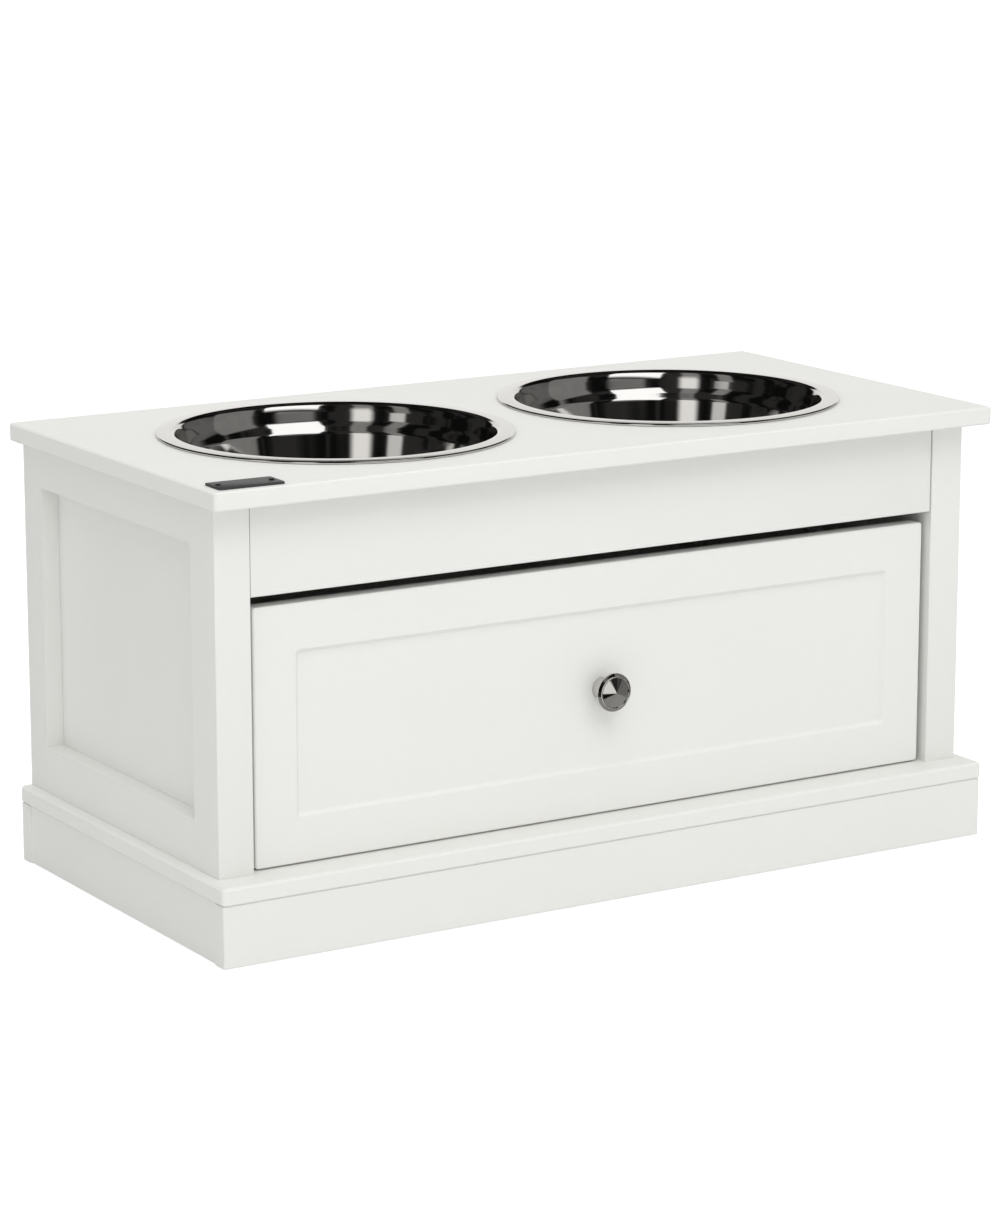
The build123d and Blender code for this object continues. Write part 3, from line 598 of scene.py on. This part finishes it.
class FEEDER_OT_bowls(bpy.types.Operator):
    """Press the two stepped steel bowls with their rolled rims"""

    bl_idname = "feeder.bowls"
    bl_label = "Pressed bowls"

    def execute(self, context):
        steel = context.scene.feeder_steel
        seat = 0.1 * MM
        hem_height = 1.8 * MM
        hem_inside = BOWL_RIM - hem_height
        crown = 112.0 * MM
        crown_height = 2.4 * MM
        floor_inside = -61.2 * MM
        floor_outside = -62.0 * MM
        middle = 60.0 * MM
        edge_bend = 0.85 * MM
        soft_bend = 2.4 * MM
        wall_bend = 2.2 * MM
        shoulder_bend = 1.2 * MM
        rim_top = (BOWL_RIM, seat + hem_height)
        rim_foot = (BOWL_RIM, seat)
        crown_top = (crown, crown_height)
        flange_end = (106.9 * MM, 2.3 * MM)
        mouth = (105.0 * MM, -2.2 * MM)
        step_top = (102.5 * MM, -11.5 * MM)
        step_foot = (99.0 * MM, -17.5 * MM)
        wall_foot = (89.04 * MM, floor_inside)
        outer_wall_foot = (89.67 * MM, floor_outside)
        outer_shoulder = (107.4 * MM, 1.52 * MM)
        outer = [
            (middle, floor_outside),
            outer_wall_foot,
            (99.78 * MM, -17.66 * MM),
            (103.25 * MM, -11.71 * MM),
            (105.77 * MM, -2.42 * MM),
            outer_shoulder,
            (crown, 1.6 * MM),
            (hem_inside, 1.2 * MM),
            (hem_inside, seat),
            rim_foot,
        ]
        inner = [
            rim_top, crown_top, flange_end, mouth, step_top, step_foot, wall_foot,
            (middle, floor_inside), (0.0, floor_inside),
        ]
        bends = [
            (wall_foot, 12.6 * MM, 12), (outer_wall_foot, 13.0 * MM, 8),
            (step_foot, shoulder_bend, 5), (step_top, soft_bend, 6),
            (mouth, wall_bend, 6), (flange_end, wall_bend, 10), (crown_top, soft_bend, 5),
            (rim_top, edge_bend, 6), (rim_foot, edge_bend, 6),
            (outer_shoulder, shoulder_bend, 4),
        ]
        for side, axis in BOWL_AXES.items():
            piece = turned(f"{side}_bowl_pressed", outer + inner, bends, BOWL_SIDES)
            move_to(piece, (axis.x, axis.y, BOARD_TOP))
            finish = polished_steel(
                f"bowl_polish_{side}", steel.color, steel.roughness, axis.x, 0.04
            )
            dress(piece, finish, f"{side}_bowl", "bowl_steel", f"{side}_bowl")
        return {"FINISHED"}


class FEEDER_OT_knob(bpy.types.Operator):
    """Turn the knob of the drawer, with its coned face"""

    bl_idname = "feeder.knob"
    bl_label = "Turned knob"

    def execute(self, context):
        base = KNOB_HIGH.y
        middle = (KNOB_LOW + KNOB_HIGH) / 2
        foot_edge = (7.5 * MM, 1.1 * MM)
        neck = (5.3 * MM, 6.2 * MM)
        throat = (7.0 * MM, 10.6 * MM)
        collar_foot = (11.0 * MM, 12.9 * MM)
        collar_top = (11.0 * MM, 14.2 * MM)
        rim_foot = (13.0 * MM, 14.2 * MM)
        rim_top = (13.0 * MM, 15.3 * MM)
        bead_outside = (10.7 * MM, 17.1 * MM)
        bead_inside = (10.2 * MM, 17.1 * MM)
        profile = [
            (foot_edge[0], 0), foot_edge, neck, throat, collar_foot, collar_top, rim_foot, rim_top,
            (10.9 * MM, 16.28 * MM), bead_outside, bead_inside, (10.0 * MM, 16.5 * MM),
            (0, 18.2 * MM),
        ]
        bends = [
            (foot_edge, 0.4 * MM, 3), (neck, 2.0 * MM, 6), (throat, 1.2 * MM, 5),
            (collar_foot, 0.4 * MM, 3), (collar_top, 0.15 * MM, 2),
            (rim_foot, 0.2 * MM, 3), (rim_top, 0.3 * MM, 4),
            (bead_outside, 0.25 * MM, 4), (bead_inside, 0.25 * MM, 4),
        ]
        piece = turned("knob_turned", profile, bends, KNOB_SIDES)
        self.face_true(piece)
        piece.rotation_euler = (math.radians(90), 0, 0)
        move_to(piece, (middle.x, base, middle.z))
        finish = plated_metal("bright_nickel", (0.62, 0.61, 0.59), 0.05)
        dress(piece, finish, "drawer", "knob_metal", "knob")
        return {"FINISHED"}

    def face_true(self, piece):
        """Shade the cone of the face by its own facets, so that light runs to its tip."""
        tip = max(vertex.co.z for vertex in piece.data.vertices)
        for face in piece.data.polygons:
            points = [piece.data.vertices[i].co for i in face.vertices]
            if max(point.z for point in points) > tip - 0.01 * MM:
                face.use_smooth = False


class FEEDER_OT_plate(bpy.types.Operator):
    """Rivet the small blank plate on the top board"""

    bl_idname = "feeder.plate"
    bl_label = "Corner plate"

    def execute(self, context):
        plate = context.scene.feeder_plate
        finish = coated_plate("dark_casting", plate.color)
        high = plate.thickness / 2
        center = Vector((*PLATE_CENTER, BOARD_TOP + high))
        turn = math.radians(PLATE_TURN)
        rivet_edge = (1.3 * MM, 0.6 * MM)
        start_clean()
        bpy.ops.mesh.primitive_cube_add(size=1, location=(0, 0, 0))
        piece = bpy.context.object
        piece.name = "corner_plate"
        piece.scale = (plate.length, plate.width, plate.thickness)
        bpy.ops.object.transform_apply(location=True, rotation=True, scale=True)
        bpy.ops.object.mode_set(mode="EDIT")
        bpy.ops.mesh.select_mode(type="EDGE")
        bpy.ops.mesh.select_all(action="DESELECT")
        bpy.ops.object.mode_set(mode="OBJECT")
        for edge in piece.data.edges:
            first, second = (piece.data.vertices[i].co for i in edge.vertices)
            edge.select = abs(first.z - second.z) > high
        bpy.ops.object.mode_set(mode="EDIT")
        bpy.ops.mesh.bevel(offset=1.6 * MM, segments=2, affect="EDGES")
        pick_edges(piece, lambda co: co.z > high * 0.99)
        bpy.ops.mesh.bevel(offset=0.35 * MM, segments=3, affect="EDGES")
        bpy.ops.object.mode_set(mode="OBJECT")
        bpy.ops.object.shade_smooth_by_angle(angle=math.radians(35))
        piece.rotation_euler = (0, 0, turn)
        move_to(piece, center)
        dress(piece, finish, "cabinet", "fastener_steel")
        for side, name in ((-1, "left"), (1, "right")):
            rivet = turned(
                f"plate_rivet_{name}",
                [(1.9 * MM, 0), (1.9 * MM, 0.2 * MM), rivet_edge, (0, 0.7 * MM)],
                [(rivet_edge, 0.3 * MM, 3)], RIVET_SIDES,
            )
            reach = side * (plate.length / 2 - RIVET_INSET)
            spot = center + Vector((reach * math.cos(turn), reach * math.sin(turn), high))
            move_to(rivet, spot)
            rivet_finish = coated_plate(f"rivet_{name}", RIVET_COLOR)
            dress(rivet, rivet_finish, "cabinet", "fastener_steel")
        return {"FINISHED"}


# ---------------------------------------------------------------- studio
def only_mirrored(item):
    """The item shows only in mirror reflections."""
    item.visible_camera = False
    item.visible_diffuse = False
    item.visible_shadow = False
    item.visible_transmission = False
    item.visible_volume_scatter = False


def dark_room(name):
    """Studio seen in the metal: dark room, white backdrop behind, tall soft window strips."""
    recipe = Recipe(name)
    x, y, z = recipe.axes(recipe.place())
    turn = x.angle_over(y * -1.0)
    rise = z.angle_over((x * x + y * y).power(0.5))
    patches = recipe.noise(recipe.place(), 0.5, 3.0, 0.6)
    light = 0.005 + patches.between(0.52, 2.0, 0.05) * 0.022
    for turn_span, rise_span, brightness in ROOM_AREAS:
        light = light + turn.between(*turn_span) * rise.between(*rise_span) * brightness
    floor_span, floor_brightness = FLOOR_AREA
    light = light + rise.between(*floor_span) * floor_brightness
    recipe.finish(recipe.glow(light, ROOM_COLOR, ROOM_BRIGHTEST))
    return recipe.material


class FEEDER_OT_studio(bpy.types.Operator):
    """Set up floor, backdrop, lamps and camera"""

    bl_idname = "feeder.studio"
    bl_label = "Studio"

    def execute(self, context):
        studio = context.scene.feeder_studio
        self.sky(studio)
        self.floor()
        self.room()
        self.lamps(studio)
        self.camera(studio)
        context.scene.view_settings.view_transform = "Standard"
        return {"FINISHED"}

    def sky(self, studio):
        world = bpy.data.worlds.new("sky")
        bpy.context.scene.world = world
        world.use_nodes = True
        nodes = world.node_tree.nodes
        links = world.node_tree.links
        nodes.clear()
        path = nodes.new("ShaderNodeLightPath")
        seen = nodes.new("ShaderNodeMath")
        seen.operation = "MAXIMUM"
        links.new(path.outputs["Is Camera Ray"], seen.inputs[0])
        mirrored = nodes.new("ShaderNodeMath")
        mirrored.operation = "MAXIMUM"
        links.new(path.outputs["Is Glossy Ray"], mirrored.inputs[0])
        links.new(path.outputs["Is Transmission Ray"], mirrored.inputs[1])
        links.new(mirrored.outputs[0], seen.inputs[1])
        strength = nodes.new("ShaderNodeMapRange")
        links.new(seen.outputs[0], strength.inputs["Value"])
        strength.inputs["To Min"].default_value = studio.sky
        strength.inputs["To Max"].default_value = 1.0
        background = nodes.new("ShaderNodeBackground")
        background.inputs["Color"].default_value = (1, 1, 1, 1)
        links.new(strength.outputs[0], background.inputs["Strength"])
        output = nodes.new("ShaderNodeOutputWorld")
        links.new(background.outputs[0], output.inputs["Surface"])

    def floor(self):
        start_clean()
        bpy.ops.mesh.primitive_plane_add(size=60, location=(0, 0, -0.0004))
        floor = bpy.context.object
        floor.name = "studio_floor"
        recipe = Recipe("pale_floor")
        path = recipe.tree.nodes.new("ShaderNodeLightPath")
        seen = Value(recipe, path.outputs["Is Camera Ray"])
        mirrored = Value(recipe, path.outputs["Is Glossy Ray"])
        through = Value(recipe, path.outputs["Is Transmission Ray"])
        speckle = recipe.noise(recipe.place(), 40.0, 2.0, 0.5)
        shader = recipe.node(
            "ShaderNodeBsdfPrincipled", None,
            {
                "Base Color": recipe.tint(speckle, (0.9, 0.9, 0.9), (0.92, 0.92, 0.92)),
                "Roughness": 0.9,
                "Emission Color": recipe.tint(seen + mirrored + through, (0, 0, 0), (1, 1, 1)),
                "Emission Strength": 0.4,
            },
        )
        recipe.finish(shader)
        floor.data.materials.append(recipe.material)
        floor.visible_glossy = False

    def room(self):
        start_clean()
        bpy.ops.mesh.primitive_uv_sphere_add(segments=48, ring_count=24, radius=6, location=(0, 0, 0))
        room = bpy.context.object
        room.name = "studio_room"
        room.data.materials.append(dark_room("studio_walls"))
        only_mirrored(room)
        start_clean()
        bpy.ops.mesh.primitive_plane_add(size=1, location=(0.03, -0.935, 1.18))
        card = bpy.context.object
        card.name = "softbox_face"
        card.scale = (0.86, 0.7, 1)
        card.rotation_euler = (math.radians(71.6), 0, 0)
        bpy.ops.object.transform_apply(location=True, rotation=True, scale=True)
        recipe = Recipe("softbox_white")
        height = recipe.axes(recipe.place())[2]
        recipe.finish(recipe.glow(height.between(0.92, 3, 0.06) * 1.5, (1, 1, 1), 1.5))
        card.data.materials.append(recipe.material)
        only_mirrored(card)

    def lamps(self, studio):
        plan = {
            "key_lamp": ((-0.5, -2.0, 2.7), 2.6, studio.key),
            "overhead_lamp": ((0.1, 0.9, 2.4), 1.6, studio.overhead),
            "side_lamp": ((-2.0, -1.1, 1.0), 1.2, studio.side),
            "front_lamp": ((0.5, -2.6, 0.3), 1.4, studio.front),
        }
        for name, (place, size, power) in plan.items():
            start_clean()
            bpy.ops.object.light_add(type="AREA", location=place)
            lamp = bpy.context.object
            lamp.name = name
            lamp.data.shape = "DISK"
            lamp.data.size = size
            lamp.data.energy = power
            aim = Vector(LAMP_AIM) - lamp.location
            lamp.rotation_euler = aim.to_track_quat("-Z", "Y").to_euler()
            lamp.visible_glossy = False

    def camera(self, studio):
        start_clean()
        heading, tilt = math.radians(CAMERA_HEADING), math.radians(CAMERA_TILT)
        ahead = Vector((
            -math.sin(heading) * math.cos(tilt),
            math.cos(heading) * math.cos(tilt),
            math.sin(tilt),
        ))
        bpy.ops.object.camera_add(location=CAMERA_PLACE)
        camera = bpy.context.object
        camera.name = "photo_camera"
        camera.rotation_euler = ahead.to_track_quat("-Z", "Y").to_euler()
        camera.data.sensor_width = SENSOR_WIDTH
        camera.data.lens = studio.lens
        bpy.context.scene.camera = camera


class FEEDER_PT_panel(bpy.types.Panel):
    """Buttons for every piece of the feeder"""

    bl_label = "Feeder"
    bl_space_type = "VIEW_3D"
    bl_region_type = "UI"
    bl_category = "Feeder"

    def draw(self, context):
        for operator in OPERATORS:
            self.layout.operator(operator.bl_idname)
        for group in SETTINGS:
            settings = getattr(context.scene, group)
            box = self.layout.box()
            for key in settings.__annotations__:
                box.prop(settings, key)


OPERATORS = (
    FEEDER_OT_boards, FEEDER_OT_joints, FEEDER_OT_bowls,
    FEEDER_OT_knob, FEEDER_OT_plate, FEEDER_OT_studio,
)
SETTINGS = {
    "feeder_paint": FeederPaint,
    "feeder_steel": FeederSteel,
    "feeder_plate": FeederPlate,
    "feeder_studio": FeederStudio,
}


def register():
    for group, settings in SETTINGS.items():
        bpy.utils.register_class(settings)
        setattr(bpy.types.Scene, group, bpy.props.PointerProperty(type=settings))
    for operator in OPERATORS:
        bpy.utils.register_class(operator)
    bpy.utils.register_class(FEEDER_PT_panel)


def unregister():
    bpy.utils.unregister_class(FEEDER_PT_panel)
    for operator in reversed(OPERATORS):
        bpy.utils.unregister_class(operator)
    for group, settings in SETTINGS.items():
        delattr(bpy.types.Scene, group)
        bpy.utils.unregister_class(settings)


def main():
    register()
    bpy.ops.feeder.boards()
    bpy.ops.feeder.joints()
    bpy.ops.feeder.bowls()
    bpy.ops.feeder.knob()
    bpy.ops.feeder.plate()
    bpy.ops.feeder.studio()


if __name__ == "__main__":
    main()
